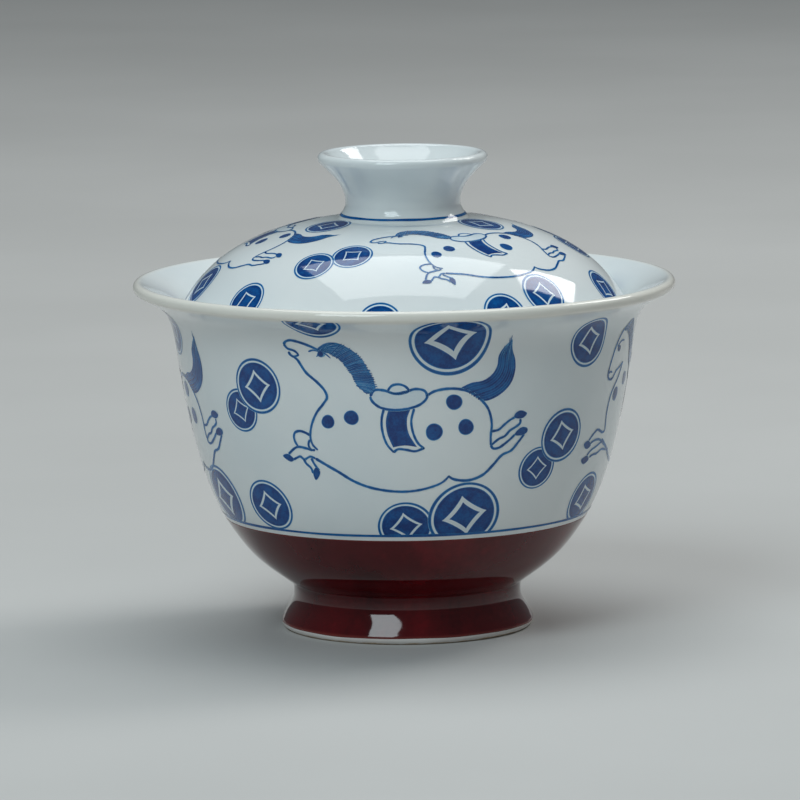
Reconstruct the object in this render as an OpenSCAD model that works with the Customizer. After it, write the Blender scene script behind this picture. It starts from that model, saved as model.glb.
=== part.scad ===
// Gaiwan: a lidded porcelain tea bowl on a flared foot, with a hollow ring knob.
// Every solid is turned about +Z. The origin is the centre of the foot's standing face,
// on the table, and the lid is seated on the bowl.

/* [Bowl] */
// Outer diameter of the lip
rim_d = 98; // [94:0.5:104]
// Height of the lip's top above the table
rim_h = 63.4; // [61:0.2:67]
// Thickness of the thrown wall; the lip is rounded to the same thickness
bowl_wall = 2.1; // [1.8:0.1:2.4]
// Outer diameter where the upright wall turns out into the flared lip
shoulder_d = 83.4; // [81:0.2:86]
// Height where the flare starts
shoulder_h = 53.7; // [52:0.1:55]
// Outer diameter of the belly where the red glaze stops
belly_d = 65.8; // [62:0.2:70]
// Height where the red glaze stops
belly_h = 20.6; // [19:0.1:23]
// Thickness of the bowl's floor over the foot
floor_t = 2.3; // [1.8:0.1:3]

/* [Foot ring] */
// Largest outer diameter of the foot, just above the table
foot_d = 45.6; // [43:0.2:48]
// Outer diameter of the foot's waist
waist_d = 41; // [40:0.2:42]
// Height of the foot ring, up to the face that is stuck to the bowl
foot_h = 8.6; // [8:0.1:9.4]
// Thickness of the ring at its waist
foot_wall = 2.1; // [1.6:0.1:2.6]
// Height of the band by the table that the red glaze leaves bare
bare_h = 1.7; // [1.4:0.1:2.2]

/* [Lid] */
// Height of the lid's crown above the table, under the knob
crown_h = 75.06; // [74:0.1:78]
// Diameter of the dome, outside its rounded edge
lid_d = 81; // [79.6:0.1:81]
// Height of the middle of the dome's edge, where it sits inside the flare
seat_h = 58; // [58:0.1:60]
// Thickness of the dome, which is also the thickness of its rounded edge
lid_wall = 1.9; // [1.6:0.1:2.2]

/* [Knob] */
// Outer diameter of the knob's lip
knob_d = 30.7; // [28:0.1:33]
// Height of the knob's top above the crown
knob_rise = 11.2; // [10:0.1:13]
// Outer diameter of the knob's neck
neck_d = 20.8; // [19:0.1:22]
// Thickness of the knob's wall
knob_wall = 2; // [1.6:0.1:2.2]

/* [Glaze] */
// Thickness of the coat of red glaze, measured level
coat_t = 0.35; // [0.2:0.05:0.5]

/* [Hidden] */
$fn = 96;

// Steps along each curve of a profile
steps = 14;
// Steps round each rounded edge
edge_steps = 8;
// Slopes of the bowl's outer profile above level, in degrees: at the foot, the belly, the
// shoulder and the lip
foot_slope = 35;
belly_slope = 58;
shoulder_slope = 81;
lip_slope = 26;
// Slope of the dome as it meets its edge, below level, and of the knob under its lip
edge_slope = 63;
knob_slope = 50;
// Radius of the rounded standing edge, and where its arc ends
stand_r = 1.05;
stand_arc = 20;
// How much wider the foot's hollow is at the table than at the top
foot_taper = 1.1;
// Radius and height where the foot ring meets the bowl
joint = [waist_d / 2 + 0.7, foot_h];
// Height of the foot's waist, and of the knob's neck above the crown
waist_h = foot_h - 2.4;
neck_h = 2;
// How far the foot of the knob spreads past its neck
knob_spread = 1.5;

// Profiles: lists of [radius, height]

// Unit vector at an angle above level
function along(a) = [cos(a), sin(a)];

// Points on a cubic Bezier curve from a to b that leaves a by the vector u and reaches b by v
function curve(a, u, v, b) = [for (i = [0 : steps]) let (t = i / steps, s = 1 - t)
    s * s * s * a + 3 * s * s * t * (a + u) + 3 * s * t * t * (b - v) + t * t * t * b];

// Points on an arc from angle a0 to a1, without its first and last
function arc(c, r, a0, a1) = [for (i = [1 : edge_steps - 1])
    c + r * along(a0 + (a1 - a0) * i / edge_steps)];

function tail(pts) = [for (i = [1 : len(pts) - 1]) pts[i]];
function reversed(pts) = [for (i = [len(pts) - 1 : -1 : 0]) pts[i]];

// The direction of a list of points at point i
function heading(pts, i) = let (d = pts[min(i + 1, len(pts) - 1)] - pts[max(i - 1, 0)]) d / norm(d);

// A list of points moved to its left by d
function shifted(pts, d) = [for (i = [0 : len(pts) - 1]) let (h = heading(pts, i))
    pts[i] + d * [-h[1], h[0]]];

// A list of points moved towards the axis by the thickness of the coat
function inset(pts) = [for (p = pts) p - [coat_t, 0]];

// The point at height z on a list of points that climbs
function at_height(pts, z) = [lookup(z, [for (p = pts) [p[1], p[0]]]), z];

// The bowl's outside, from the foot ring up to the lip
belly = [belly_d / 2, belly_h];
shoulder = [shoulder_d / 2, shoulder_h];
lip_c = [rim_d - bowl_wall, 2 * rim_h - bowl_wall] / 2;
lip_start = lip_c + bowl_wall / 2 * along(lip_slope - 90);
under_belly = curve(joint, 7 * along(foot_slope), 8 * along(belly_slope), belly);
upright = curve(belly, 9.5 * along(belly_slope), 10.3 * along(shoulder_slope), shoulder);
flare = curve(shoulder, 5 * along(shoulder_slope), 4.3 * along(lip_slope), lip_start);
bowl_outside = concat(upright, tail(flare));
bowl_inside = shifted(bowl_outside, bowl_wall);
floor_curve = curve([0, foot_h + floor_t], [21, 0], 8 * along(belly_slope), bowl_inside[0]);

// The foot ring's outside, from the table up to the bowl
stand_c = [foot_d / 2 - stand_r, stand_r];
stand_end = stand_c + stand_r * along(stand_arc);
foot_flare = curve(stand_end, 2 * along(stand_arc + 90), [0, 1.7], [waist_d / 2, waist_h]);
foot_fillet = curve([waist_d / 2, waist_h], [0, 1.1], 0.9 * along(foot_slope), joint);
foot_outside = concat(foot_flare, tail(foot_fillet));
bare_edge = at_height(foot_outside, bare_h);
foot_bare = concat([for (p = foot_outside) if (p[1] < bare_h) p], [bare_edge]);
foot_glazed = concat([bare_edge], [for (p = foot_outside) if (p[1] > bare_h) p]);

// The dome's outside, from the crown down to the edge
edge_c = [(lid_d - lid_wall) / 2, seat_h];
edge_start = edge_c + lid_wall / 2 * along(90 - edge_slope);
dome_outside = curve([0, crown_h], [20.8, 0], 13.5 * along(-edge_slope), edge_start);
dome_inside = concat([[0, crown_h - lid_wall]], tail(shifted(dome_outside, -lid_wall)));

// The knob's outside, from its foot on the dome up to its lip
knob_foot = neck_d / 2 + knob_spread;
knob_bore = neck_d / 2 - knob_wall;
neck = [neck_d / 2, crown_h + neck_h];
knob_lip_c = [(knob_d - knob_wall) / 2, crown_h + knob_rise - knob_wall / 2];
knob_lip_start = knob_lip_c + knob_wall / 2 * along(knob_slope - 90);
knob_fillet = curve([knob_foot, lookup(knob_foot, dome_outside)], [-0.8, 0.8], [0, 0.8], neck);
knob_flare = curve(neck, [0, 3.9], 2.3 * along(knob_slope), knob_lip_start);
knob_seat = [for (p = dome_outside) if (p[0] > knob_bore && p[0] < knob_foot) p];

// Thrown bowl: the wall, the flared lip and the floor. The red zone is thinner by its coat.
module bowl_body() {
    color("#dfe9ea")
    rotate_extrude()
    polygon(concat(
        [[0, foot_h]],
        inset(under_belly),
        bowl_outside,
        arc(lip_c, bowl_wall / 2, lip_slope - 90, lip_slope + 90),
        reversed(bowl_inside),
        tail(reversed(floor_curve))));
}

// Coat of red glaze on the bowl, from the foot ring up to the belly
module bowl_red_glaze() {
    color("#5c0a10")
    rotate_extrude()
    polygon(concat(under_belly, reversed(inset(under_belly))));
}

// Turned foot ring: rounded standing edge, flare and waist, with a tapered hollow
module foot_ring() {
    hollow_top = waist_d / 2 - foot_wall;
    hollow_foot = hollow_top + foot_taper;
    color("#e8e2d6")
    rotate_extrude()
    polygon(concat(
        [[hollow_foot + stand_r / 2, 0], stand_c - [0, stand_r]],
        arc(stand_c, stand_r, -90, stand_arc),
        foot_bare,
        inset(foot_glazed),
        [[hollow_top, foot_h], [hollow_foot, stand_r / 2]]));
}

// Coat of red glaze on the foot ring, down to the bare band
module foot_red_glaze() {
    color("#6a0c14")
    rotate_extrude()
    polygon(concat(foot_glazed, reversed(inset(foot_glazed))));
}

// Dome of the lid, an even shell with a rounded edge
module lid_dome() {
    color("#dfe9ea")
    rotate_extrude()
    polygon(concat(
        dome_outside,
        arc(edge_c, lid_wall / 2, 90 - edge_slope, -90 - edge_slope),
        reversed(dome_inside)));
}

// Hollow flared ring that is stuck on the dome as the knob
module lid_knob() {
    color("#e4eded")
    rotate_extrude()
    polygon(concat(
        [[knob_bore, lookup(knob_bore, dome_outside)]],
        knob_seat,
        knob_fillet,
        tail(knob_flare),
        arc(knob_lip_c, knob_wall / 2, knob_slope - 90, knob_slope + 90),
        reversed(shifted(knob_flare, knob_wall))));
}

bowl_body();
bowl_red_glaze();
foot_ring();
foot_red_glaze();
lid_dome();
lid_knob();
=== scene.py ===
import math

import bpy
import numpy as np
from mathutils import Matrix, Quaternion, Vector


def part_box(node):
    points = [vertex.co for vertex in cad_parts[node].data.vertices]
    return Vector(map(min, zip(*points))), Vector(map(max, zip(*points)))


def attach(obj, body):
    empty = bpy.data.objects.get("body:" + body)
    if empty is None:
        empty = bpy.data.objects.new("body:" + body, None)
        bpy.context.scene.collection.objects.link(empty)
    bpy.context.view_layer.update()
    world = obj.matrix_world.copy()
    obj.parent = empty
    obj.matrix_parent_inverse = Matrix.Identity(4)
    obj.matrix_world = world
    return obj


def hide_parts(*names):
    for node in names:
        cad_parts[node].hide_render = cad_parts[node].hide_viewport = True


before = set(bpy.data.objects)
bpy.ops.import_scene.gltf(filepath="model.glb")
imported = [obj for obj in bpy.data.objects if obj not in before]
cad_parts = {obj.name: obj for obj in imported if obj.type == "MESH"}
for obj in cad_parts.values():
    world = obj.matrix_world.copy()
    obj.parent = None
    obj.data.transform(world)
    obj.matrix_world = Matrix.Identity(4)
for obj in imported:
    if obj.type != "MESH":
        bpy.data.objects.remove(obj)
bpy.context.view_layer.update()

# --- Bowl ---------------------------------------------------------------------
# Thrown in porcelain as one wall: a floor, an upright side and a lip that flares out.
# It is turned thin, coated in clear glaze and fired, and the foot ring is stuck under it.

MM = 0.001


def corners(node):
    """Largest radius, lowest height and highest height of a turned CAD node, in millimetres."""
    low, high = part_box(node)
    return high.x / MM, low.z / MM, high.z / MM


def along(angle):
    """Unit vector at an angle above level, in degrees: (cos a, sin a)."""
    return np.array([math.cos(math.radians(angle)), math.sin(math.radians(angle))])


def curve(a, u, v, b, steps=40):
    """Cubic Bezier curve from a to b that leaves by u and arrives by v:
    p(t) = (1-t)^3 a + 3 (1-t)^2 t (a + u) + 3 (1-t) t^2 (b - v) + t^3 b."""
    a, u, v, b = (np.array(value, float) for value in (a, u, v, b))
    t = np.linspace(0, 1, steps + 1)[:, None]
    s = 1 - t
    return s**3 * a + 3 * s * s * t * (a + u) + 3 * s * t * t * (b - v) + t**3 * b


def arc(centre, radius, start, stop, steps=20):
    """Points c + R (cos a, sin a), a running evenly between two angles in degrees."""
    a = np.radians(np.linspace(start, stop, steps + 1))
    return np.array(centre) + radius * np.stack([np.cos(a), np.sin(a)], 1)


def headings(points):
    """Unit heading of a line at each of its points, from its neighbours' difference."""
    h = np.gradient(points, axis=0)
    return h / np.linalg.norm(h, axis=1)[:, None]


def shifted(points, distance):
    """The line moved to its left: p + d (-h_z, h_r), with h its unit heading."""
    h = headings(points)
    return points + distance * np.stack([-h[:, 1], h[:, 0]], 1)


def new_piece(name, points, faces):
    """A smooth mesh object at the origin, from points in millimetres and lists of corners."""
    mesh = bpy.data.meshes.new(name)
    mesh.from_pydata((points * MM).tolist(), [], faces)
    mesh.polygons.foreach_set("use_smooth", np.ones(len(mesh.polygons), bool))
    piece = bpy.data.objects.new(name, mesh)
    bpy.context.scene.collection.objects.link(piece)
    return piece


TURNS = 320  # facets round a turned piece
SHARP = math.radians(35)  # edges past this angle stay crisp


def turned(name, *lines, wobble=None):
    """Surface of revolution of a closed outline: P = (r sin a, -r cos a, z).
    The outline may start and end on the axis, where each pole is one point. wobble
    is a height added to each point of the grid."""
    outline = np.vstack(lines)
    keep = np.r_[True, np.linalg.norm(np.diff(outline, axis=0), axis=1) > 1e-4]
    outline = outline[keep]
    r, z = outline.T
    if np.sum(r * np.roll(z, -1) - np.roll(r, -1) * z) < 0:
        outline = outline[::-1]
        wobble = None if wobble is None else wobble[keep][::-1]
    elif wobble is not None:
        wobble = wobble[keep]
    r, z = outline.T
    poles = r[0] < 1e-6 and r[-1] < 1e-6
    body = slice(1, -1) if poles else slice(None)
    a = np.linspace(0, 2 * math.pi, TURNS, endpoint=False)
    height = np.broadcast_to(z[body, None], (len(r[body]), TURNS))
    if wobble is not None:
        height = height + wobble[body]
    grid = np.stack([r[body, None] * np.sin(a), -r[body, None] * np.cos(a), height], -1)
    rows = len(grid)
    index = np.arange(rows * TURNS).reshape(rows, TURNS)
    near = index if not poles else index[:-1]
    far = np.roll(index, -1, 0) if not poles else index[1:]
    quads = np.stack([near, np.roll(near, -1, 1), np.roll(far, -1, 1), far], -1)
    faces = quads.reshape(-1, 4).tolist()
    points = grid.reshape(-1, 3)
    if poles:
        first, last = len(points), len(points) + 1
        points = np.vstack([points, [[0, 0, z[0]], [0, 0, z[-1]]]])
        low, high = index[0], index[-1]
        faces += np.stack([np.full(TURNS, first), np.roll(low, -1), low], 1).tolist()
        faces += np.stack([np.full(TURNS, last), high, np.roll(high, -1)], 1).tolist()
    piece = new_piece(name, points, faces)
    piece.data.set_sharp_from_angle(angle=SHARP)
    return piece


rim_r, foot_h, rim_h = corners("bowl_body")
belly_r, _, belly_h = corners("bowl_red_glaze")
wall = 2.1  # of the bowl, the same at the lip
floor_t = 2.3
shoulder_r, shoulder_h = 41.7, 53.7
joint_r = 21.2  # where the foot ring meets the bowl
foot_slope, belly_slope, shoulder_slope, lip_slope = 35, 58, 81, 26

joint = np.array([joint_r, foot_h])
belly = np.array([belly_r, belly_h])
shoulder = np.array([shoulder_r, shoulder_h])
lip_centre = np.array([rim_r - wall / 2, rim_h - wall / 2])
lip_start = lip_centre + wall / 2 * along(lip_slope - 90)
under_belly = curve(joint, 7 * along(foot_slope), 8 * along(belly_slope), belly, 30)
upright = curve(belly, 9.5 * along(belly_slope), 10.3 * along(shoulder_slope), shoulder, 50)
flare = curve(shoulder, 5 * along(shoulder_slope), 4.3 * along(lip_slope), lip_start, 26)
bowl_outside = np.vstack([upright, flare[1:]])
bowl_inside = shifted(bowl_outside, wall)
bowl_floor = curve([0, foot_h + floor_t], [21, 0], 8 * along(belly_slope), bowl_inside[0], 36)
bowl = turned(
    "thrown_bowl",
    [[0, foot_h]],
    [[joint_r - 0.5, foot_h]],
    under_belly,
    bowl_outside,
    arc(lip_centre, wall / 2, lip_slope - 90, lip_slope + 90),
    bowl_inside[::-1],
    bowl_floor[::-1],
)
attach(bowl, "bowl")
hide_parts("bowl_body")


def feed(tree, socket, value):
    """Links a node's input to an output, or gives it a fixed value."""
    if isinstance(value, bpy.types.NodeSocket):
        tree.links.new(value, socket)
    else:
        socket.default_value = value


def add(tree, kind, inputs=None, **settings):
    """A new shader node, with its settings, and its inputs given values or linked."""
    node = tree.nodes.new("ShaderNode" + kind)
    for key, value in settings.items():
        setattr(node, key, value)
    for name, value in (inputs or {}).items():
        feed(tree, node.inputs[name], value)
    return node


def new_group(name, inputs, outputs):
    """A shader group with named sockets, given as (name, kind). Returns the group, its
    input node's outputs and its output node's inputs."""
    group = bpy.data.node_groups.new(name, "ShaderNodeTree")
    for way, sockets in (("INPUT", inputs), ("OUTPUT", outputs)):
        for label, kind in sockets:
            group.interface.new_socket(label, in_out=way, socket_type="NodeSocket" + kind)
    return (
        group,
        group.nodes.new("NodeGroupInput").outputs,
        group.nodes.new("NodeGroupOutput").inputs,
    )


def ramp(tree, factor, *stops, smooth=True):
    """A colour ramp's output, from (position, colour) stops."""
    node = add(tree, "ValToRGB", {"Fac": factor})
    node.color_ramp.interpolation = "EASE" if smooth else "LINEAR"
    elements = node.color_ramp.elements
    while len(elements) < len(stops):
        elements.new(0.5)
    for element, (position, colour) in zip(elements, stops):
        element.position = position
        element.color = (*colour, 1)
    return node.outputs["Color"]


def level(tree, value, low, high, to_low=0.0, to_high=1.0):
    """value eased from one range to another, and held at both ends."""
    node = add(
        tree,
        "MapRange",
        {"Value": value, "From Min": low, "From Max": high, "To Min": to_low, "To Max": to_high},
        interpolation_type="SMOOTHSTEP",
    )
    return node.outputs["Result"]


def noise(tree, position, scale, detail=2.0, roughness=0.5, stretch=(1, 1, 1)):
    """Soft noise, with features about 1/scale metres across, drawn out by stretch."""
    moved = add(tree, "Mapping", {"Vector": position, "Scale": stretch}).outputs["Vector"]
    inputs = {"Vector": moved, "Scale": scale, "Detail": detail, "Roughness": roughness}
    return add(tree, "TexNoise", inputs).outputs["Fac"]


def maths(tree, operation, first, second):
    """One step of arithmetic on two values."""
    node = add(tree, "Math", operation=operation)
    for socket, value in zip(node.inputs, (first, second)):
        feed(tree, socket, value)
    return node.outputs["Value"]


# a Mix node has sockets for every kind of value: these are its factor's and its colours'
MIX_FACTOR, MIX_FIRST, MIX_SECOND, MIX_OUT = 0, 6, 7, 2


def colour_mix(tree, factor, first, second):
    """Two colours blended by a factor."""
    inputs = {MIX_FACTOR: factor, MIX_FIRST: first, MIX_SECOND: second}
    return add(tree, "Mix", inputs, data_type="RGBA").outputs[MIX_OUT]


# Every glaze on the piece has the same skin: slow waves where it ran and settled, and a
# pinhole here and there where a bubble broke.
glaze_skin, skin_in, skin_out = new_group(
    "glaze_skin", [("Position", "Vector")], [("Height", "Float"), ("Gloss", "Float")]
)
waves = noise(glaze_skin, skin_in["Position"], 120, 1.5)
orange_peel = noise(glaze_skin, skin_in["Position"], 700, 1.0)
cells = add(
    glaze_skin, "TexVoronoi", {"Vector": skin_in["Position"], "Scale": 260, "Randomness": 1}
)
cell_pick = add(glaze_skin, "SeparateColor", {"Color": cells.outputs["Color"]}).outputs["Red"]
pit_depth = level(glaze_skin, cells.outputs["Distance"], 0.0, 0.09, 1.0, 0.0)
pit = maths(glaze_skin, "MULTIPLY", pit_depth, maths(glaze_skin, "GREATER_THAN", cell_pick, 0.985))
rise = maths(glaze_skin, "ADD", waves, maths(glaze_skin, "MULTIPLY", orange_peel, 0.05))
height = maths(glaze_skin, "SUBTRACT", rise, maths(glaze_skin, "MULTIPLY", pit, 0.25))
glaze_skin.links.new(height, skin_out["Height"])
gloss = level(glaze_skin, noise(glaze_skin, skin_in["Position"], 40, 4), 0.3, 0.7, 0.045, 0.085)
gloss = maths(glaze_skin, "ADD", gloss, maths(glaze_skin, "MULTIPLY", pit, 0.3))
glaze_skin.links.new(gloss, skin_out["Gloss"])

# White porcelain under a clear glaze that is faintly blue where it lies thick.
porcelain_tone, tone_in, tone_out = new_group(
    "porcelain_tone", [("Position", "Vector")], [("Color", "Color")]
)
cloud = noise(porcelain_tone, tone_in["Position"], 34, 3)
body = ramp(porcelain_tone, cloud, (0.3, (0.70, 0.755, 0.77)), (0.7, (0.765, 0.80, 0.80)))
grit = add(porcelain_tone, "TexVoronoi", {"Vector": tone_in["Position"], "Scale": 150})
grit_pick = add(porcelain_tone, "SeparateColor", {"Color": grit.outputs["Color"]}).outputs["Green"]
speck = level(porcelain_tone, grit.outputs["Distance"], 0.012, 0.03, 0.55, 0.0)
chosen = maths(porcelain_tone, "GREATER_THAN", grit_pick, 0.97)
speck = maths(porcelain_tone, "MULTIPLY", speck, chosen)
tone = colour_mix(porcelain_tone, speck, body, (0.22, 0.20, 0.17, 1))
# the glaze drains thin off the lip, where the warmer body shows through it
flat_place = add(
    porcelain_tone, "VectorMath", {0: tone_in["Position"], 1: (1, 1, 0)}, operation="MULTIPLY"
)
from_axis = add(
    porcelain_tone, "VectorMath", {0: flat_place.outputs["Vector"]}, operation="LENGTH"
).outputs["Value"]
thin_lip = level(porcelain_tone, from_axis, (rim_r - wall) * MM, (rim_r - 0.3) * MM, 0.0, 0.85)
tone = colour_mix(porcelain_tone, thin_lip, tone, (0.80, 0.775, 0.70, 1))
porcelain_tone.links.new(tone, tone_out["Color"])


def new_material(name):
    """A material with a Principled shader. Returns it, its tree, the shader and the place."""
    material = bpy.data.materials.new(name)
    material.use_nodes = True
    tree = material.node_tree
    tree.nodes.clear()
    shader = add(tree, "BsdfPrincipled")
    add(tree, "OutputMaterial", {"Surface": shader.outputs["BSDF"]})
    return material, tree, shader, add(tree, "TexCoord").outputs["Object"]


def use_group(tree, group, **inputs):
    """A group placed in a material, with its inputs linked. Returns its outputs."""
    node = tree.nodes.new("ShaderNodeGroup")
    node.node_tree = group
    for socket, value in inputs.items():
        tree.links.new(value, node.inputs[socket])
    return node.outputs


WAVE_DEPTH = 0.000035  # metres, of the glaze's slow waves
GLAZE_IOR = 1.48


def glaze_over(tree, shader, place):
    """Gives a shader the skin of a glaze: its waves as a bump, and its gloss."""
    skin = use_group(tree, glaze_skin, Position=place)
    bump = add(tree, "Bump", {"Height": skin["Height"], "Strength": 1.0, "Distance": WAVE_DEPTH})
    tree.links.new(bump.outputs["Normal"], shader.inputs["Normal"])
    tree.links.new(skin["Gloss"], shader.inputs["Roughness"])
    shader.inputs["IOR"].default_value = GLAZE_IOR


white_porcelain, tree, shader, place = new_material("white_porcelain")
tree.links.new(use_group(tree, porcelain_tone, Position=place)["Color"], shader.inputs["Base Color"])
glaze_over(tree, shader, place)
bowl.data.materials.append(white_porcelain)

# --- Foot ring ----------------------------------------------------------------
# Turned from a second lump of porcelain and stuck on with slip. Its standing edge is
# rounded and wiped clean before firing, so that it doesn't stick to the kiln shelf.

foot_r, _, _ = corners("foot_ring")
_, bare_h, _ = corners("foot_red_glaze")
waist_r = joint_r - 0.7
waist_h = foot_h - 2.4
foot_wall = 2.1
stand_r, stand_arc = 1.05, 20  # of the rounded standing edge, and the angle it ends at
hollow_r = 0.5  # of the hollow's rounded edge
hollow_top = waist_r - foot_wall
hollow_foot = hollow_top + 1.1  # the hollow widens to the table

stand_centre = np.array([foot_r - stand_r, stand_r])
stand_end = stand_centre + stand_r * along(stand_arc)
waist = [waist_r, waist_h]
foot_flare = curve(stand_end, 2 * along(stand_arc + 90), [0, 1.7], waist, 24)
foot_fillet = curve(waist, [0, 1.1], 0.9 * along(foot_slope), joint, 16)
hollow_edge = arc([hollow_foot + hollow_r, hollow_r], hollow_r, 180, 270, 8)
foot = turned(
    "turned_foot",
    arc(stand_centre, stand_r, -90, stand_arc),
    foot_flare,
    foot_fillet,
    np.linspace([hollow_top, foot_h], [hollow_foot, hollow_r], 8),
    hollow_edge,
)
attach(foot, "bowl")
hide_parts("foot_ring")

bare_porcelain, tree, shader, place = new_material("bare_porcelain")
# brown raw clay in an uneven line by the table, under the white of the wiped band
height = add(tree, "SeparateXYZ", {"Vector": place}).outputs["Z"]
ragged = maths(tree, "MULTIPLY", noise(tree, place, 260, 3, 0.6), 0.0009)
above = maths(tree, "ADD", height, ragged)
biscuit_mask = level(tree, above, 0.00062, 0.00086, 1.0, 0.0)
grain = noise(tree, place, 1800, 3, 0.65)
biscuit = ramp(tree, grain, (0.35, (0.42, 0.30, 0.20)), (0.7, (0.60, 0.47, 0.34)))
ground = ramp(tree, noise(tree, place, 90, 3), (0.3, (0.66, 0.62, 0.59)), (0.7, (0.76, 0.73, 0.70)))
tree.links.new(colour_mix(tree, biscuit_mask, ground, biscuit), shader.inputs["Base Color"])
dry = maths(tree, "ADD", maths(tree, "MULTIPLY", biscuit_mask, 0.35), 0.3)
tree.links.new(dry, shader.inputs["Roughness"])
bump = add(tree, "Bump", {"Height": grain, "Strength": 0.6, "Distance": 0.00003})
tree.links.new(bump.outputs["Normal"], shader.inputs["Normal"])
shader.inputs["IOR"].default_value = 1.5
foot.data.materials.append(bare_porcelain)

# --- Red coat -----------------------------------------------------------------
# Oxblood glaze over the foot and the under-belly, in one dip. It stops at a turned line
# under the belly and in a soft, slightly uneven edge above the bare standing ring.

COAT = 0.07  # how far the coat stands out from the clay
COAT_EDGE = 0.6  # how far the dip ran down past its line before it stopped
BEAD = 0.03  # extra thickness where the glaze gathered over its lower edge
BEAD_AT, BEAD_SPREAD = 0.4, 0.3  # how far from that edge it gathered, and how widely
LOW_ROUND, TOP_ROUND = 0.3, 0.12  # the stretch over which each edge of the coat rounds off
HEM_SWAY, HEM_REACH = 0.11, 0.8  # how far the lower edge wanders, and how far up that is felt


def run_of(line):
    """Distance along a line to each of its points: the sum of |p(i+1) - p(i)|."""
    return np.r_[0, np.cumsum(np.linalg.norm(np.diff(line, axis=0), axis=1))]


def points_along(line, at):
    """The points of a line at given distances along it."""
    run = run_of(line)
    return np.stack([np.interp(at, run, line[:, k]) for k in (0, 1)], 1)


def rounded_off(distance, reach):
    """A quarter circle, from 0 at an edge to 1 at a reach from it: sqrt(1 - (1 - d / R)^2)."""
    return np.sqrt(1 - (1 - np.clip(distance / reach, 0, 1)) ** 2)


standing_arc = arc(stand_centre, stand_r, -20, stand_arc, 24)
coat_line = np.vstack([standing_arc, foot_flare[1:], foot_fillet[1:], under_belly[1:]])
coat_line = coat_line[coat_line[:, 1] > bare_h - COAT_EDGE]
length = run_of(coat_line)[-1]
low_end = np.linspace(0, 2 * LOW_ROUND, 13)
top_end = length - np.linspace(0, 0.3, 9)
at = np.unique(np.r_[low_end, np.linspace(0, length, 90), top_end])
coat_line = points_along(coat_line, at)
thick = COAT + BEAD * np.exp(-(((at - BEAD_AT) / BEAD_SPREAD) ** 2))
thick *= rounded_off(at, LOW_ROUND) * rounded_off(length - at, TOP_ROUND)
coat_outside = shifted(coat_line, -thick[:, None])
around = np.linspace(0, 2 * math.pi, TURNS, endpoint=False)
sway = 0.5 * np.sin(3 * around + 1) + 0.3 * np.sin(7 * around + 2) + 0.2 * np.sin(13 * around)
hem = HEM_SWAY * sway * np.exp(-at / HEM_REACH)[:, None]
coat = turned("oxblood_coat", coat_outside, coat_line[::-1], wobble=np.vstack([hem, hem[::-1]]))
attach(coat, "bowl")
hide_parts("bowl_red_glaze", "foot_red_glaze")

oxblood, tree, shader, place = new_material("oxblood_glaze")
height = add(tree, "SeparateXYZ", {"Vector": place}).outputs["Z"]
streaks = noise(tree, place, 90, 4, 0.6, (1, 1, 0.35))
mottle = noise(tree, place, 900, 3, 0.6)
fine_mottle = maths(tree, "MULTIPLY", mottle, 0.2)
depth = maths(tree, "ADD", maths(tree, "MULTIPLY", streaks, 0.8), fine_mottle)
red = ramp(
    tree,
    depth,
    (0.3, (0.040, 0.0016, 0.0028)),
    (0.5, (0.080, 0.0022, 0.0042)),
    (0.72, (0.135, 0.0034, 0.0066)),
)
# where the coat is thin, at its two edges, it is a lighter brown red
hem_h = bare_h - COAT_EDGE
thin_hem = level(tree, height, hem_h * MM, (hem_h + 0.7) * MM, 1.0, 0.0)
thin_top = level(tree, height, (belly_h - 0.35) * MM, belly_h * MM, 0.0, 0.7)
thin = maths(tree, "MAXIMUM", thin_hem, thin_top)
edge_red = colour_mix(tree, maths(tree, "MULTIPLY", thin, 0.75), red, (0.20, 0.034, 0.026, 1))
tree.links.new(edge_red, shader.inputs["Base Color"])
glaze_over(tree, shader, place)
coat.data.materials.append(oxblood)

# --- Lid ----------------------------------------------------------------------
# A thin thrown dome with a rounded edge, that rests inside the flare of the bowl. It is
# glazed all over in the same clear glaze.

lid_r, lid_low, crown_h = corners("lid_dome")
lid_wall = 1.9
edge_slope = 63
seat_h = lid_low + lid_wall / 2

edge_centre = np.array([lid_r - lid_wall / 2, seat_h])
edge_start = edge_centre + lid_wall / 2 * along(90 - edge_slope)
dome_outside = curve([0, crown_h], [20.8, 0], 13.5 * along(-edge_slope), edge_start, 80)
dome_inside = shifted(dome_outside, -lid_wall)
dome_inside[0] = [0, crown_h - lid_wall]
lid = turned(
    "thrown_lid",
    dome_outside,
    arc(edge_centre, lid_wall / 2, 90 - edge_slope, -90 - edge_slope),
    dome_inside[::-1],
)
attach(lid, "lid")
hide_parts("lid_dome")
lid.data.materials.append(white_porcelain)

# --- Knob ---------------------------------------------------------------------
# A hollow flared ring, thrown on its own and stuck on the crown with slip that is
# smoothed to a small fillet. The lid stands on it when it is turned over.

knob_r, _, knob_h = corners("lid_knob")
knob_wall = 2.0
neck_r = 10.4
knob_slope = 50
knob_foot = neck_r + 1.5
dish_r = 6.2  # where the inside runs out onto the crown


def dome_at(radius):
    """Height of the dome's outside at a radius."""
    return float(np.interp(radius, dome_outside[:, 0], dome_outside[:, 1]))


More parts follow.
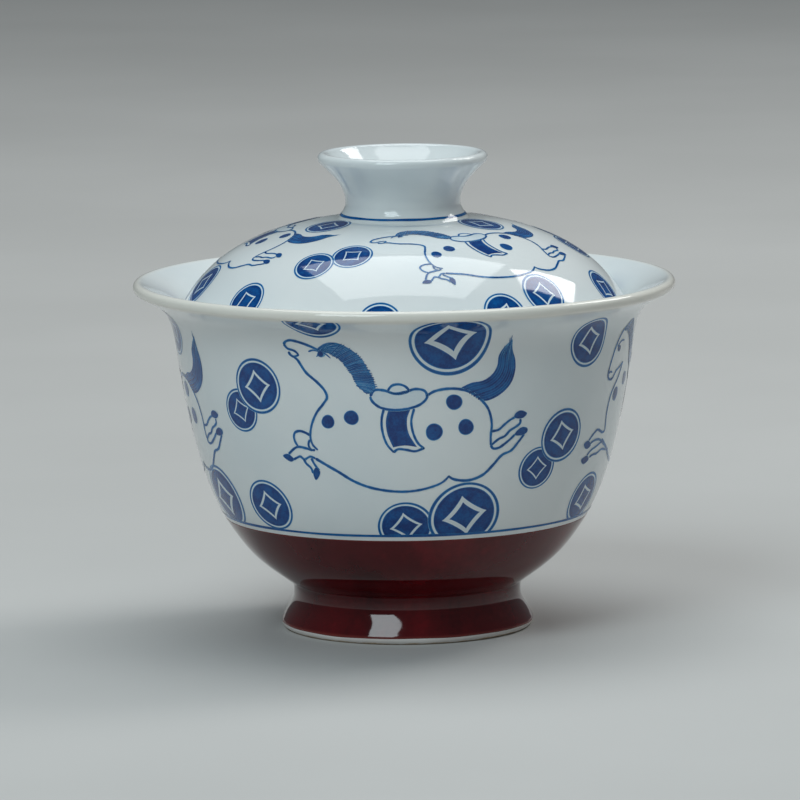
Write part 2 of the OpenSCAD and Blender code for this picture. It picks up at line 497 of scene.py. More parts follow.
neck = np.array([neck_r, crown_h + 2])
knob_lip = np.array([knob_r - knob_wall / 2, knob_h - knob_wall / 2])
knob_lip_start = knob_lip + knob_wall / 2 * along(knob_slope - 90)
knob_fillet = curve([knob_foot, dome_at(knob_foot)], [-0.8, 0.8], [0, 0.8], neck, 20)
knob_flare = curve(neck, [0, 3.9], 2.3 * along(knob_slope), knob_lip_start, 44)
knob_inside = shifted(knob_flare, knob_wall)
bore_foot = curve(knob_inside[0], [0, -1.7], [-1.2, 0.06], [dish_r, dome_at(dish_r)], 16)
seat = np.linspace(dish_r, knob_foot, 12)
seat = np.stack([seat, [dome_at(r) - 0.05 for r in seat]], 1)
knob = turned(
    "knob_ring",
    seat[1:-1],
    knob_fillet,
    knob_flare[1:],
    arc(knob_lip, knob_wall / 2, knob_slope - 90, knob_slope + 90),
    knob_inside[::-1],
    bore_foot[1:],
)
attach(knob, "lid")
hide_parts("lid_knob")
knob.data.materials.append(white_porcelain)

# --- Painting: the blue lines -------------------------------------------------
# Cobalt is brushed on the raw white body before the clear glaze goes over it. Each
# painting is a skin laid a few hundredths of a millimetre over the wall it is painted on.

cobalt_ink, ink_in, ink_out = new_group(
    "cobalt_ink",
    [("Position", "Vector"), ("Ink", "Float"), ("Ground", "Color")],
    [("Color", "Color")],
)
brushed = noise(cobalt_ink, ink_in["Position"], 420, 3, 0.6)
flecks = noise(cobalt_ink, ink_in["Position"], 2600, 2, 0.6)
uneven = maths(
    cobalt_ink,
    "ADD",
    level(cobalt_ink, brushed, 0.3, 0.7, -0.11, 0.08),
    level(cobalt_ink, flecks, 0.3, 0.7, -0.06, 0.05),
)
change = maths(cobalt_ink, "MULTIPLY", uneven, ink_in["Ink"])
strength = maths(cobalt_ink, "ADD", ink_in["Ink"], change)
blue = ramp(
    cobalt_ink,
    strength,
    (0.15, (0.20, 0.43, 0.62)),
    (0.45, (0.016, 0.205, 0.460)),
    (0.75, (0.001, 0.094, 0.315)),
    (1.0, (0.0005, 0.032, 0.170)),
    smooth=False,
)
wet = level(cobalt_ink, strength, 0.0, 0.2)
cobalt_ink.links.new(colour_mix(cobalt_ink, wet, ink_in["Ground"], blue), ink_out["Color"])

cobalt, tree, shader, place = new_material("cobalt_under_glaze")
ink = add(tree, "Attribute", attribute_name="ink").outputs["Fac"]
ground = use_group(tree, porcelain_tone, Position=place)["Color"]
painted = use_group(tree, cobalt_ink, Position=place, Ink=ink, Ground=ground)["Color"]
tree.links.new(painted, shader.inputs["Base Color"])
glaze_over(tree, shader, place)


def wall_of(profile):
    """A profile as a wall to paint on: its run s, and r, z and the outward normal at s."""
    h = headings(profile)
    return run_of(profile), profile[:, 0], profile[:, 1], h[:, 1], -h[:, 0]


def on_wall(wall, run, turn, lift):
    """Points and normals on a wall at a run and an angle, lifted off it along the normal:
    P = ((r + l n_r) sin a, -(r + l n_r) cos a, z + l n_z)."""
    r, z, nr, nz = (np.interp(run, wall[0], column) for column in wall[1:])
    away = r + lift * nr
    points = np.stack([away * np.sin(turn), -away * np.cos(turn), z + lift * nz], -1)
    return points, np.stack([nr * np.sin(turn), -nr * np.cos(turn), nz], -1)


class Patch:
    """A grid of a drawing: x and y in millimetres, the ink at each point from 0 to 1, how
    high it lies over the glaze, whether its rows join end to end, and whether the ring
    inside its first row is filled."""

    def __init__(self, xy, ink, lift, ring=False, capped=True):
        self.xy = xy
        self.ink = np.broadcast_to(ink, xy.shape[:2])
        self.lift = lift
        self.ring = ring
        self.capped = ring and capped


SLIVER = 1e-5  # a square whose area is under half of this isn't made, in square millimetres


def painted_piece(name, patches, lay):
    """One mesh from a drawing's patches, laid on the wall by lay(x, y, lift). Each patch is
    turned to face away from the wall, and the mesh takes the wall's own normals."""
    points, normals, inks, quads, caps, count = [], [], [], [], [], 0
    for patch in patches:
        place, normal = lay(patch.xy[..., 0].ravel(), patch.xy[..., 1].ravel(), patch.lift)
        index = np.arange(len(place)).reshape(patch.ink.shape)
        cap = index[0]
        if patch.ring:
            index = np.hstack([index, index[:, :1]])
        near, far = index[:-1], index[1:]
        squares = np.stack([near[:, :-1], far[:, :-1], far[:, 1:], near[:, 1:]], -1).reshape(-1, 4)
        edge = place[squares]
        facing = np.cross(edge[:, 2] - edge[:, 0], edge[:, 3] - edge[:, 1])
        outward = np.sum(facing * normal[squares[:, 0]]) > 0
        squares = squares[np.linalg.norm(facing, axis=1) > SLIVER]
        if not outward:
            squares, cap = squares[:, ::-1], cap[::-1]
        quads.append(count + squares)
        if patch.capped:
            caps.append(count + cap)
        points.append(place)
        normals.append(normal)
        inks.append(patch.ink.ravel())
        count += len(place)
    points, normals, inks, quads = (np.concatenate(part) for part in (points, normals, inks, quads))
    used = np.unique(np.concatenate([quads.ravel(), *caps]))
    renumber = np.zeros(count, int)
    renumber[used] = np.arange(len(used))
    faces = renumber[quads].tolist() + [renumber[cap].tolist() for cap in caps]
    piece = new_piece(name, points[used], faces)
    attribute = piece.data.attributes.new("ink", "FLOAT", "POINT")
    attribute.data.foreach_set("value", inks[used].astype(np.float32))
    piece.data.normals_split_custom_set_from_vertices(normals[used].tolist())
    piece.data.materials.append(cobalt)
    return piece


BASE = 0.03  # lift of a painting over the glaze
OVER = 0.012  # how much higher the next layer of it lies
LINE_LIFT = 0.045  # of a painted line, which lies over a coin that runs under it
LINE_TURNS = 419  # points round a painted line


def painted_line(name, wall, run, width, body):
    """A line painted round a wall on the turntable: a band that wavers a little."""
    a = np.linspace(0, 2 * math.pi, LINE_TURNS, endpoint=False)
    across = np.array([[-1], [-0.7], [0], [0.7], [1]])
    swell = 1 + 0.10 * np.sin(5 * a + 1) + 0.06 * np.sin(13 * a)
    waver = 0.04 * np.sin(2 * a) + 0.02 * np.sin(9 * a + 2)
    height = run + waver + across * width / 2 * swell
    ink = np.array([[0.4], [0.85], [0.8], [0.85], [0.4]]) * (0.95 + 0.07 * np.sin(7 * a + 1))
    band = Patch(np.stack([a + 0 * height, height], -1), ink, LINE_LIFT, ring=True, capped=False)
    piece = painted_piece(name, [band], lambda turn, run, lift: on_wall(wall, run, turn, lift))
    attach(piece, body)


bowl_wall = wall_of(bowl_outside)
knob_outside = wall_of(np.vstack([knob_fillet, knob_flare[1:]]))
LINE_RUN = 1.15  # run up the wall from the red coat to the middle of the blue line
painted_line("bowl_blue_line", bowl_wall, LINE_RUN, 0.55, "bowl")
painted_line("knob_blue_line", knob_outside, 0.9, 0.5, "lid")

# --- Painting: the coins ------------------------------------------------------
# Round coins with a square hole, scattered singly and in overlapping pairs. Each is an
# outline, a white ring, and a solid disc round a white four-pointed frame. No lettering.

PINCH = 0.86  # under 1, it curves the sides of a coin's frame inwards


def coin(radius, tilt, order=0):
    """A coin as one polar grid round its centre. The hole's frame follows
    r = a / (|cos b|^p + |sin b|^p)^(1/p), with p under 1 so that its sides curve in."""
    b = np.linspace(0, 2 * math.pi, 72, endpoint=False)
    four_points = 1 / (np.abs(np.cos(b)) ** PINCH + np.abs(np.sin(b)) ** PINCH) ** (1 / PINCH)
    uneven = 1 + 0.012 * np.sin(2 * b + tilt)
    soft = 0.08  # width of a brushed edge
    frame_out = (0.50 + 0.02 * radius) * radius
    frame_in = frame_out - 0.032 * radius**2
    disc = 0.845 * radius * uneven
    outline = 0.915 * radius * uneven
    rows = [(k * frame_in * four_points, 0.93) for k in (0.15, 0.55, 0.85, 0.97)]
    rows += [(frame_in * four_points, 0.72), ((frame_in + soft) * four_points, 0.05)]
    rows += [((frame_out - soft) * four_points, 0.05), (frame_out * four_points, 0.72)]
    for k, shade in ((0.08, 0.96), (0.35, 0.9), (0.65, 0.88), (0.93, 1.0)):
        rows.append(((1 - k) * frame_out * four_points + k * disc, shade))
    rows += [(disc, 0.7), (disc + 0.09, 0.05), (outline, 0.05), (outline + soft, 0.6)]
    for rim, shade in ((0.96 * radius, 0.88), (radius - 0.06, 0.6), (radius + 0.03, 0.08)):
        rows.append((rim + 0 * b, shade))
    reach = np.array([row[0] for row in rows])
    ink = np.array([[row[1]] for row in rows])
    turn = b + math.radians(tilt)
    grid = np.stack([reach * np.cos(turn), reach * np.sin(turn)], -1)
    return Patch(grid, ink, BASE + order * OVER, ring=True)


def on_bowl(turn, run):
    """Lays a drawing on the bowl: x round it from an angle in degrees, y up its wall from
    a run, held between the blue line and the lip. a = a0 + x / r."""

    def lay(x, y, lift):
        s = np.clip(run + y, LINE_RUN, bowl_wall[0][-1])
        level_s = np.clip(run + y, 0, bowl_wall[0][-1])
        radius = np.interp(level_s, bowl_wall[0], bowl_wall[1])
        return on_wall(bowl_wall, s, math.radians(turn) + x / radius, lift)

    return lay


# angle, run up the wall, radius, tilt of the hole; in each group, the last lies in front
BOWL_COINS = [
    [(10.7, 39.2, 7.4, 14)],
    [(-46.6, 24.1, 4.0, 20), (-39.7, 29.0, 5.1, 8)],
    [(-42.9, 6.2, 5.0, 10)],
    [(-0.2, 3.2, 5.0, 10), (16.9, 5.1, 6.6, 12)],
    [(51.1, 36.0, 5.0, 15)],
    [(37.8, 13.3, 4.0, 5), (45.2, 18.9, 5.0, 14)],
    [(63.8, 5.3, 5.0, 22)],
    [(-66.0, 6.0, 6.2, 10)],
    [(-78.2, 36.2, 4.5, 25)],
    [(-20.2, 44.4, 5.3, 8)],
]
for side, start in (("front", 0), ("back", 180)):
    for number, group in enumerate(BOWL_COINS, 1):
        for order, (angle, run, radius, tilt) in enumerate(group):
            name = f"bowl_coin_{side}_{number}_{order + 1}"
            lay = on_bowl(start + angle, run)
            piece = painted_piece(name, [coin(radius, tilt, order)], lay)
            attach(piece, "bowl")

dome_wall = wall_of(dome_outside[::-1])
dome_run = dome_wall[0][-1]


def on_lid(turn, run, spin=0.0, scale=1.0):
    """Lays a drawing on the dome as a flat map about the crown: a point of the map at
    distance d from the crown lies at the run d down the dome, in the same direction."""
    centre = (dome_run - run) * along(turn - 90)
    c, s = along(turn + spin)

    def lay(x, y, lift):
        east = centre[0] + scale * (c * x - s * y)
        north = centre[1] + scale * (s * x + c * y)
        down = np.hypot(east, north)
        return on_wall(dome_wall, dome_run - down, np.arctan2(east, -north), lift)

    return lay


SECTOR = 120  # degrees: the lid's painting repeats three times round it
# angle, run up the dome from its edge, and radius
LID_COINS = [
    (-58.4, 30.2, 4.2), (-48.0, 4.9, 4.2), (-31.5, 14.7, 3.8), (-19.5, 18.2, 3.8),
    (-6.4, 1.7, 4.5), (27.2, 2.7, 4.6), (42.0, 6.3, 4.6),
]
for sector in range(3):
    for number, (angle, run, radius) in enumerate(LID_COINS, 1):
        drawing = [coin(radius, 15 + 9 * number, number % 2)]
        lay = on_lid(SECTOR * sector + angle, run)
        piece = painted_piece(f"lid_coin_{sector + 1}_{number}", drawing, lay)
        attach(piece, "lid")

# --- Painting: the horses -----------------------------------------------------
# A saddled, spotted horse at full gallop, head thrown up and legs stretched out, drawn in
# quick outline with a fine brush. Four go round the bowl and three smaller ones the lid.


def through(points, closed=False, step=0.35):
    """Smooth line through a few points. Between two of them, with d the gap in t and A, B
    the mean slopes at them: (1+2u)(1-u)^2 a + u(1-u)^2 d A + u^2(3-2u) b + u^2(u-1) d B."""
    p = np.array(points, float)
    if closed:
        p = np.vstack([p[-2:], p, p[:3]])
    knot = np.r_[0, np.cumsum(np.sqrt(np.linalg.norm(np.diff(p, axis=0), axis=1)))]
    gap = np.diff(knot)[:, None]
    slope = np.diff(p, axis=0) / gap
    mean = (slope[:-1] * gap[1:] + slope[1:] * gap[:-1]) / (gap[1:] + gap[:-1])
    slope = np.vstack([slope[:1], mean, slope[-1:]])
    first, last = (2, len(p) - 3) if closed else (0, len(p) - 1)
    length = np.linalg.norm(np.diff(p[first : last + 1], axis=0), axis=1).sum()
    t = np.linspace(knot[first], knot[last], max(8, int(1.3 * length / step)) + 1)
    i = np.clip(np.searchsorted(knot, t, side="right") - 1, first, last - 1)
    d = (knot[i + 1] - knot[i])[:, None]
    u = (t - knot[i])[:, None] / d
    v = 1 - u
    return (
        (1 + 2 * u) * v**2 * p[i]
        + u * v**2 * d * slope[i]
        + u**2 * (3 - 2 * u) * p[i + 1]
        - u**2 * v * d * slope[i + 1]
    )


def resampled(line, count):
    """The same line at count points evenly spaced along it."""
    return points_along(line, np.linspace(0, run_of(line)[-1], count))


def stroke(line, width=0.48, start=1.15, end=0.7, shade=0.78, lift=2, rough=0.05):
    """A brush stroke along a line: a ribbon p + c w n, n being the line's left and c from
    -1/2 to 1/2. w swells at the start, thins to the end and is rounded off at both."""
    run = run_of(line)
    tip = width * np.array([0.0, 0.03, 0.12, 0.28, 0.5])
    at = np.unique(np.r_[tip, run[(run > tip[-1]) & (run < run[-1] - tip[-1])], run[-1] - tip])
    p = points_along(line, at)
    h = np.gradient(p, at, axis=0)
    h /= np.linalg.norm(h, axis=1)[:, None] + 1e-9
    t = at / run[-1]
    w = np.interp(t, [0, 0.08, 0.5, 0.9, 1], [start, 1.05, 1.0, (1 + end) / 2, end]) * width
    w *= 1 + rough * np.sin(2.3 * at + 5 * line[0, 0]) + rough * np.sin(5.1 * at)
    ends = np.minimum(at, run[-1] - at) / (width / 2)
    w *= np.sqrt(np.clip(1 - (1 - np.clip(ends, 0, 1)) ** 2, 0.0025, 1))
    across = np.array([-0.58, -0.34, 0, 0.34, 0.58])
    xy = p[:, None] + (across * w[:, None])[..., None] * np.stack([-h[:, 1], h[:, 0]], 1)[:, None]
    pool = shade * (1 + 0.16 * np.exp(-at / 0.6) + 0.12 * np.sin(0.9 * at + line[0, 1]))
    ink = np.minimum(pool[:, None] * np.array([0.12, 0.98, 1.05, 0.98, 0.12]), 1)
    return Patch(xy, ink, BASE + lift * OVER)


def filled(outline, shade=1.0, edge=0.75, lift=1):
    """A painted patch: rings c + k (q - c) from its centre c out to its outline q."""
    q = outline[:-1] if np.allclose(outline[0], outline[-1]) else outline
    c = q.mean(0)
    rings = np.array([0.2, 0.5, 0.75, 0.9, 1.05])
    xy = c + rings[:, None, None] * (q - c)
    ink = np.array([0.95, 0.92, 0.95, 1.0, 0.3 * edge])[:, None] * shade
    return Patch(xy, ink + np.zeros(xy.shape[:2]), BASE + lift * OVER, ring=True)


def between(first, second, columns=7, shade=0.8, edge=0.7, lift=1):
    """A patch ruled between two lines: (1-v) p + v q, paler along both."""
    rows = max(len(first), len(second))
    p, q = resampled(first, rows), resampled(second, rows)
    v = np.linspace(0, 1, columns)
    xy = p[:, None] * (1 - v[:, None]) + q[:, None] * v[:, None]
    ink = shade * np.where((v == 0) | (v == 1), edge, 1.0)
    return Patch(xy, ink + np.zeros(xy.shape[:2]), BASE + lift * OVER)


def dot(x, y, radius, shade=1.0, lift=1):
    """A round spot, a little uneven."""
    b = np.linspace(0, 2 * math.pi, 36, endpoint=False)
    r = radius * (1 + 0.03 * np.sin(2 * b + x) + 0.02 * np.sin(3 * b + y))
    return filled(np.stack([x + r * np.cos(b), y + r * np.sin(b)], 1), shade, 0.6, lift)


def head_and_neck():
    """Muzzle, lips, brow and eye, then the throat and chest down to the forelegs."""
    top = [
        (-22.2, 17.2), (-21.9, 17.8), (-21, 18.2), (-19.2, 17.9), (-16.9, 17.1), (-15.3, 16.4),
        (-14.6, 16.1),
    ]
    upper_lip = [(-22.2, 17.3), (-21.5, 16.5), (-20.4, 16.2), (-19.8, 15.9), (-19.2, 15.3)]
    lower_lip = [(-21.3, 15.9), (-21, 15.4), (-20.3, 15), (-19.2, 15.4)]
    throat = [
        (-20.4, 15.1), (-19.5, 14.4), (-18.8, 13.4), (-17.9, 12.2), (-15.8, 10.5), (-14.4, 9),
        (-14, 7.8), (-14.7, 6.6), (-16, 4.9), (-17, 2.6), (-17.3, 0.3), (-16.9, -1.1), (-15.9, -2.1),
    ]
    brow = [(-17.4, 16.1), (-16.5, 16.4), (-15.3, 16.2), (-14.2, 15.8), (-13.2, 15)]
    forelock = [(-15.6, 16.5), (-14.8, 17.2), (-13.6, 17.8), (-12.4, 17.9)]
    lash = [(-15.2, 15.7), (-15.9, 15.2)]
    fringe = [(-14.2, 16.5), (-13.2, 16.2), (-12.4, 15.4)]
    return [
        stroke(through(top), 0.5, 1.1, 0.6),
        stroke(through(upper_lip), 0.42, 1.3, 0.6),
        stroke(through(lower_lip), 0.42, 1.1, 1.0),
        stroke(through(throat), 0.46, 0.8, 0.7),
        stroke(through(brow), 0.3, 0.7, 0.5),
        stroke(through(forelock), 0.5, 0.6, 0.9),
        stroke(through(lash), 0.25, 1.0, 0.4),
        stroke(through(fringe), 0.26, 1.0, 0.4),
        dot(-15.1, 15.75, 0.55, 1.0, 3),
        dot(-13.9, 3.3, 1.2),
        dot(-9.6, 4.2, 1.3),
        filled(through([(-15.8, 15.6), (-15, 15.1), (-14.2, 15.5), (-15, 16.1)], True), 0.3, 0.5, 0),
    ]


def head_bowed():
    """The head hung down, face forward, and the chest below it."""
    face = [
        (-13.6, 16.8), (-15.2, 16.6), (-16.4, 15.8), (-17.4, 14.6), (-18.3, 13.2), (-18.9, 11.8),
        (-19.4, 10.2), (-19.6, 8.7), (-19.1, 7.8), (-18.2, 7.5),
    ]
    jaw = [
        (-18.3, 7.5), (-17.3, 7.7), (-16.8, 8.2), (-16.2, 8.8), (-15.2, 9.2), (-14, 9.6),
        (-13, 10.1),
    ]
    mouth = [(-19.4, 8.8), (-18.7, 9), (-17.9, 8.8)]
    throat = [
        (-12.9, 10.2), (-13.5, 8.9), (-14.4, 7.4), (-15.6, 6.1), (-16.6, 4.7), (-17, 2.6),
        (-16.9, 0.9), (-16.4, -0.6), (-15.9, -2.1),
    ]
    brow = [(-17.3, 13.4), (-16.2, 14.1), (-15.2, 14.3), (-14.1, 14.2)]
    return [
        stroke(through(face), 0.48, 1.0, 0.8),
        stroke(through(jaw), 0.44, 1.1, 0.7),
        stroke(through(mouth), 0.36, 1.0, 0.5),
        stroke(through(throat), 0.46, 0.8, 0.7),
        stroke(through(brow), 0.34, 0.8, 0.5),
        dot(-16.4, 13, 0.6, 1.0, 3),
        dot(-14.3, 4.4, 1.2),
        dot(-9.7, 6.7, 1.2),
    ]


def forelegs():
    """Bent knee, the leg stretched forward with its hoof, and the one behind it."""
    knee = [
        (-17.3, 0.6), (-18.4, 1.1), (-19.5, 1.3), (-20.4, 0.9), (-20.6, 0), (-20.3, -0.9),
        (-19.8, -1.6),
    ]
    fold = [(-17.4, -0.2), (-17.7, -0.9), (-17.6, -1.6), (-17.1, -2.1), (-16.4, -2.1)]
    top = [(-16.9, -2.2), (-18.1, -1.9), (-19.8, -1.7), (-20.6, -2.1), (-21.8, -3.2)]
    under = [(-20.8, -4.2), (-20.1, -3.8), (-19.4, -3.5), (-18.6, -4), (-17.4, -3.4), (-16.4, -3.7)]
    hind_left = [(-18.7, -3.9), (-18.3, -4.7), (-17.3, -5.6), (-16.9, -6.6)]
    hind_right = [(-17.2, -3.7), (-16.7, -4.7), (-15.7, -6)]
    hoof = [(-23, -3.6), (-22, -3.2), (-21.2, -3.6), (-20.7, -4.2), (-21.2, -4.6), (-22, -4.4)]
    hoof_2 = [(-16.9, -6.4), (-16.3, -5.4), (-15.6, -6.1), (-15.7, -6.9), (-16.4, -7.8)]
    return [
        stroke(through(knee), 0.44, 1.0, 0.8),
        stroke(through(fold), 0.4, 1.0, 0.9),
        stroke(through(top), 0.44, 1.0, 1.0),
        stroke(through(under), 0.42, 1.0, 0.9),
        stroke(through(hind_left), 0.42, 1.1, 0.9),
        stroke(through(hind_right), 0.42, 1.1, 0.9),
        filled(through(hoof, True), 1.0, 0.7, 3),
        filled(through(hoof_2, True), 1.0, 0.7, 3),
    ]


def forelegs_out():
    """Both forelegs stretched forward, one hoof above the other."""
    top = [(-15.9, -2.2), (-17, -2.3), (-18.1, -1.9), (-19.4, -1.5), (-20.6, -2.1), (-21.8, -3.2)]
    under = [(-20.9, -3.8), (-19.9, -3.5), (-18.8, -3.4), (-17.4, -3.6), (-16, -4.2), (-14.4, -5)]
    low_top = [(-15.9, -4), (-18, -4.7), (-19.9, -5.2), (-21, -6)]
    low_under = [(-19.9, -6.5), (-18.6, -6.2), (-17.2, -6.2), (-15.3, -5.7), (-13.2, -6), (-11.2, -6.3)]
    hoof = [(-23.2, -3.7), (-22.2, -3.2), (-21.2, -3.6), (-20.7, -4.2), (-21.4, -4.7), (-22.3, -4.6)]
    hoof_2 = [(-22.6, -6.7), (-21.6, -6.2), (-20.7, -6.2), (-20, -6.9), (-20.6, -7.4), (-21.5, -7.6)]
    return [
        stroke(through(top), 0.44, 1.0, 1.0),
        stroke(through(under), 0.42, 1.0, 0.9),
        stroke(through(low_top), 0.42, 1.0, 1.0),
        stroke(through(low_under), 0.42, 1.0, 0.9),
        filled(through(hoof, True), 1.0, 0.7, 3),
        filled(through(hoof_2, True), 1.0, 0.7, 3),
    ]


def trunk():
    """The long belly with its crease before the thigh, and the back and rump."""
    belly = [
        (-16.4, -3.7), (-14.4, -4.8), (-12.2, -6), (-9, -7.9), (-5.6, -9.1), (-0.8, -9.7),
        (2.9, -9.3), (6.3, -8.1), (7.7, -6.8),
    ]
    thigh = [
        (7.5, -6.9), (8.3, -7.5), (11.1, -7.9), (13.8, -7), (15.8, -5.2), (17.5, -3.5),
        (19.3, -2.8), (20.7, -1.4), (22, 0.1),
    ]
    rump = [
        (3.7, 8.2), (5.1, 9), (7.4, 9.4), (9.8, 9.2), (11.9, 8.4), (13.6, 7), (14.9, 5.2),
        (15.5, 2.6), (15.3, 0.2), (15.3, -1.5),
    ]
    return [
        stroke(through(belly), 0.48, 1.0, 0.7),
        stroke(through(thigh), 0.48, 0.7, 0.8),
        stroke(through(rump), 0.46, 0.9, 0.9),
        dot(8.6, 6.9, 1.4),
        dot(5, 1.5, 1.5),
    ]


def hind_legs():
    """Two legs flung out behind, with dark hooves."""
    top = [(15.4, 1.1), (16.8, 1.3), (18, 2.2), (19, 2.9), (20.1, 3.4)]
    middle = [(21.2, 3), (21.1, 2.2), (20.3, 1.6), (19.1, 1), (18, 0), (16.9, -0.4), (15.5, -1.4)]
    lower = [(15.3, -1.4), (15.7, -2.1), (16.8, -2.1), (18.2, -1.3), (19.3, -0.5), (20.1, 0.2)]
    hoof = [(19.9, 3.4), (20.2, 4.1), (21, 4.5), (21.8, 4.4), (22.5, 3.9), (21.8, 3.2), (20.8, 3.1)]
    hoof_2 = [(20, 0.1), (20.6, 0.9), (21.6, 1.4), (22.6, 1.1), (22.6, 0.5), (21.9, 0), (20.9, -0.1)]
    return [
        stroke(through(top), 0.42, 1.0, 0.9),
        stroke(through(middle), 0.42, 1.0, 1.0),
        stroke(through(lower), 0.44, 1.0, 0.9),
        filled(through(hoof, True), 1.0, 0.7, 3),
        filled(through(hoof_2, True), 1.0, 0.7, 3),
    ]


def saddle():
    """A pale saddle with its pommel, over a cloth with a dark middle and a white border."""
    seat = [
        (-6.1, 8.2), (-5.4, 9.3), (-3.8, 9.3), (-1.8, 8.7), (0, 9), (1.8, 9.5), (3.4, 9.1),
        (3.8, 8), (2.8, 6.8), (0.8, 6), (-2, 5.7), (-4.5, 6.2), (-5.9, 7.4),
    ]
    pommel = [(-3, 9.1), (-2.4, 10.1), (-1.2, 10.4), (0, 10), (0.6, 9.2), (-0.6, 8.7), (-2, 8.7)]
    left = [(-3.8, 5.9), (-4.2, 4), (-4.1, 1.8), (-3.3, -0.7), (-2.1, -2.2)]
    hem = [(-2.2, -2.2), (-1.4, -1.6), (0, -1.7), (1.6, -2), (3.3, -1.4)]
    right = [(3.2, -1.5), (2.2, -0.6), (1.3, 1.4), (1, 3.7), (1.5, 5.9)]
    dark_left = through([(-3, 5.7), (-3.45, 3.8), (-3.25, 1.4), (-2.25, -1.25)])
    dark_right = through([(0.85, 5.8), (0.25, 4), (0.5, 1.4), (1.95, -1.25)])
    dark = between(dark_left, dark_right, 9, 0.97, 0.8)
    v = np.linspace(0, 1, 9)
    late = np.linspace(0, 1, len(dark.xy))[:, None] ** 6
    dark.xy[..., 1] += 0.35 * late * np.sin(math.pi * v)
    seat_line, pommel_line = through(seat, True), through(pommel, True)
    return [
        filled(seat_line, 0.07, 1.0, 0),
        filled(pommel_line, 0.05, 1.0, 1),
        stroke(seat_line, 0.45, 1.0, 1.0),
        stroke(pommel_line, 0.42, 1.0, 1.0),
        stroke(through(left), 0.4, 1.0, 0.9),
        stroke(through(hem), 0.42, 1.1, 1.0),
        stroke(through(right), 0.4, 0.9, 1.0),
        dark,
    ]


def mane(random):
    """A band from the ears to the saddle, brushed in short hairs that lie across it."""
    inner = [
        (-14.9, 16.2), (-12.8, 15.6), (-11.3, 14.6), (-10.2, 13.2), (-9.2, 11.8), (-8.3, 10),
        (-6.8, 8.6),
    ]
    outer = [
        (-14.6, 17.5), (-12.4, 18.1), (-9.9, 17), (-7.8, 15.2), (-6.5, 13.1), (-5.5, 11),
        (-5.3, 9.3), (-6.1, 8.7),
    ]
    steps = 200
    hairs, bare = 52, 7  # places for a hair, and how many of them the forelock takes
    inner, outer = resampled(through(inner), steps), resampled(through(outer), steps)
    patches = [between(inner[24:], outer[24:], 7, 0.66, 0.75, 0)]
    brow = np.array([-15.1, 16.2])
    for end in [(-12.9, 17.9), (-12, 17.5), (-11.7, 16.9), (-11.6, 16.3), (-11.9, 15.7)]:
        middle = (brow + end) / 2 + [-0.1, 0.22]
        patches.append(stroke(through([brow, middle, end]), 0.42, 0.6, 0.9, 0.8, 2, 0.0))
    for k in range(bare, hairs):
        t = (k + 0.5) / hairs
        a = inner[int((steps - 1) * t)] + random.normal(0, 0.05, 2)
        b = outer[int((steps - 1) * min(1, t + 0.07 + 0.05 * t))] + random.normal(0, 0.09, 2)
        a, b = a + 0.06 * (a - b), b + random.uniform(-0.02, 0.1) * (b - a)
        bow = (a + b) / 2 + [0.05, 0.14]
        line = through([a, bow, b])
        shade = random.choice([0.62, 0.78, 0.9, 1.0])
        patches.append(stroke(line, random.uniform(0.16, 0.3), 0.5, 0.6, shade, 1 + k % 3, 0.0))
    return patches


def tail(random):
    """A sweep of long hairs from the rump, rising to a ragged point. Its strands lie side by
    side between two lines, each as wide as its share of the gap, over a paler wash."""
    upper = through([
        (9.9, 9.5), (11.6, 10.2), (13.8, 10.5), (15.6, 11.6), (16.6, 13.2), (16.9, 15),
        (18, 16.6), (19.6, 18),
    ])
    lower = through([
        (13.5, 6.9), (15.2, 7), (17.4, 8), (19.3, 9.8), (20.1, 12), (20.1, 14), (19.6, 16),
        (19.6, 18),
    ])
    patches = [between(upper, lower, 9, 0.36, 0.8, 0)]
    strands, steps, points = 9, 80, 60
    upper, lower = resampled(upper, steps), resampled(lower, steps)
    share = np.linalg.norm(upper - lower, axis=1) / strands
    for k in range(strands):
        v = (k + 0.5) / strands
        line = upper * (1 - v) + lower * v
        to_the_point = k in (3, 4)
        reach = steps - 1 if to_the_point else int(steps * random.uniform(0.8, 0.97))
        line = resampled(line[: reach + 1], points)
        ribbon = stroke(line, 1.0, 1, 1, random.choice([0.78, 0.88, 0.98]), 1 + k % 2, 0.0)
        middle = ribbon.xy[:, 2:3]
        t = np.linspace(0, 1, len(middle))
        width = np.interp(t * reach / steps, np.linspace(0, 1, steps), share)
        width *= 0.97 * np.minimum(1, 4.5 * (1.001 - t))
        side = ribbon.xy - middle
        side /= np.linalg.norm(side[:, 4], axis=1)[:, None, None] + 1e-9
        ribbon.xy = middle + side * width[:, None, None] / 2
        ribbon.ink = ribbon.ink[:, 2:3] * np.array([0.5, 1, 1, 1, 0.5])
        patches.append(ribbon)
    loose_hairs = 5
    for k in range(loose_hairs):
        i = 52 + 4 * k
        start = (upper[i] + lower[i]) / 2 + random.normal(0, 0.2, 2)
        rise = np.array([0.3 * (k - 2), 2.2 + 0.2 * k])
        hair = through([start, start + 0.5 * rise, start + rise])
        patches.append(stroke(hair, 0.2, 0.6, 0.2, 0.85, 1, 0))
    return patches


random = np.random.default_rng(11)
body_of_horse = trunk() + hind_legs() + saddle() + mane(random) + tail(random)
RUMP_SPOT = (10.7, 2.2, 1.4)  # the small horses on the lid have no room for it
head_up = head_and_neck() + forelegs()
head_down = head_bowed() + forelegs_out()
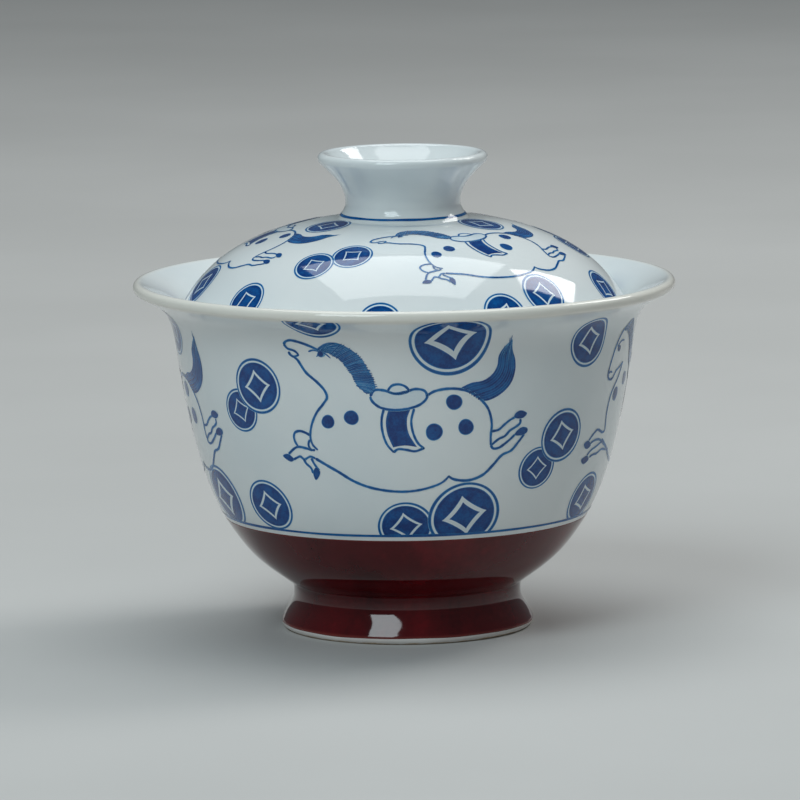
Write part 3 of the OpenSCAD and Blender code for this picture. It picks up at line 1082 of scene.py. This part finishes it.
# where each stands round the bowl, the run up the wall to its middle, and how it holds its head
BOWL_HORSES = {
    "front": (0, 20, head_up),
    "right": (90, 20, head_down),
    "back": (180, 20, head_up),
    "left": (-89.4, 18.6, head_up),
}
for side, (angle, run, pose) in BOWL_HORSES.items():
    drawing = body_of_horse + pose + [dot(*RUMP_SPOT)]
    piece = painted_piece(f"bowl_horse_{side}", drawing, on_bowl(angle, run))
    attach(piece, "bowl")
LID_HORSE_TURN, LID_HORSE_RUN, LID_HORSE_SPIN, LID_HORSE_SCALE = 35.6, 18.4, 1.0, 0.78
for number in range(3):
    lay = on_lid(LID_HORSE_TURN + SECTOR * number, LID_HORSE_RUN, LID_HORSE_SPIN, LID_HORSE_SCALE)
    piece = painted_piece(f"lid_horse_{number + 1}", body_of_horse + head_up, lay)
    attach(piece, "lid")

# --- Table, light and camera --------------------------------------------------
# A wide pale table under a soft studio: a window-like softbox in front, a second one from
# the right and a broad one overhead.

TABLE_TURNS = 96
rings = np.array([[60], [150], [400], [1200], [4000]])
turn = np.linspace(0, 2 * math.pi, TABLE_TURNS, endpoint=False)
grid = np.stack([rings * np.sin(turn), -rings * np.cos(turn), 0 * rings * turn], -1)
index = np.arange(len(rings) * TABLE_TURNS).reshape(len(rings), TABLE_TURNS)
near, far = index[:-1], index[1:]
quads = np.stack([far, np.roll(far, -1, 1), np.roll(near, -1, 1), near], -1).reshape(-1, 4)
table = new_piece("table", grid.reshape(-1, 3), quads.tolist() + [index[0].tolist()])

table_top, tree, shader, place = new_material("pale_table")
cloudy = noise(tree, place, 5, 4)
pale = ramp(tree, cloudy, (0.3, (0.49, 0.49, 0.48)), (0.7, (0.53, 0.53, 0.52)))
tree.links.new(pale, shader.inputs["Base Color"])
shader.inputs["Roughness"].default_value = 0.75
table.data.materials.append(table_top)


AIM = [0, 0, 0.04]  # the middle of the gaiwan, in metres


def softbox(name, azimuth, elevation, distance, size, watts, colour):
    """A rectangular light that faces the middle of the gaiwan from a direction."""
    a, e = math.radians(azimuth), math.radians(elevation)
    toward = np.array([math.sin(a) * math.cos(e), -math.cos(a) * math.cos(e), math.sin(e)])
    data = bpy.data.lights.new(name, "AREA")
    data.shape = "RECTANGLE"
    data.size, data.size_y = size
    data.energy = watts
    data.color = colour
    lamp = bpy.data.objects.new(name, data)
    lamp.location = toward * distance + AIM
    lamp.rotation_euler = (math.pi / 2 - e, 0, a)
    bpy.context.scene.collection.objects.link(lamp)


softbox("window_light", -27, 42, 1.5, (0.6, 0.8), 9.5, (0.84, 0.96, 1.0))
softbox("right_light", 125, 43, 1.3, (0.4, 0.5), 4.5, (1.0, 0.99, 0.97))
softbox("top_light", 180, 78, 1.5, (1.2, 1.2), 13, (0.95, 0.99, 1.0))

world = bpy.data.worlds.new("studio")
world.use_nodes = True
backdrop = world.node_tree.nodes["Background"]
backdrop.inputs["Color"].default_value = (0.78, 0.86, 0.90, 1)
backdrop.inputs["Strength"].default_value = 0.13
bpy.context.scene.world = world

PITCH, ROLL = math.radians(8.126), math.radians(0.635)
camera_data = bpy.data.cameras.new("camera")
camera_data.lens = 301.2
camera_data.clip_end = 20
camera = bpy.data.objects.new("camera", camera_data)
camera.location = (-0.00094, -1.2, 0.2124)
camera.rotation_mode = "QUATERNION"
camera.rotation_quaternion = Quaternion((1, 0, 0), math.pi / 2 - PITCH) @ Quaternion((0, 0, 1), -ROLL)
bpy.context.scene.collection.objects.link(camera)
bpy.context.scene.camera = camera
bpy.context.scene.view_settings.view_transform = "Standard"
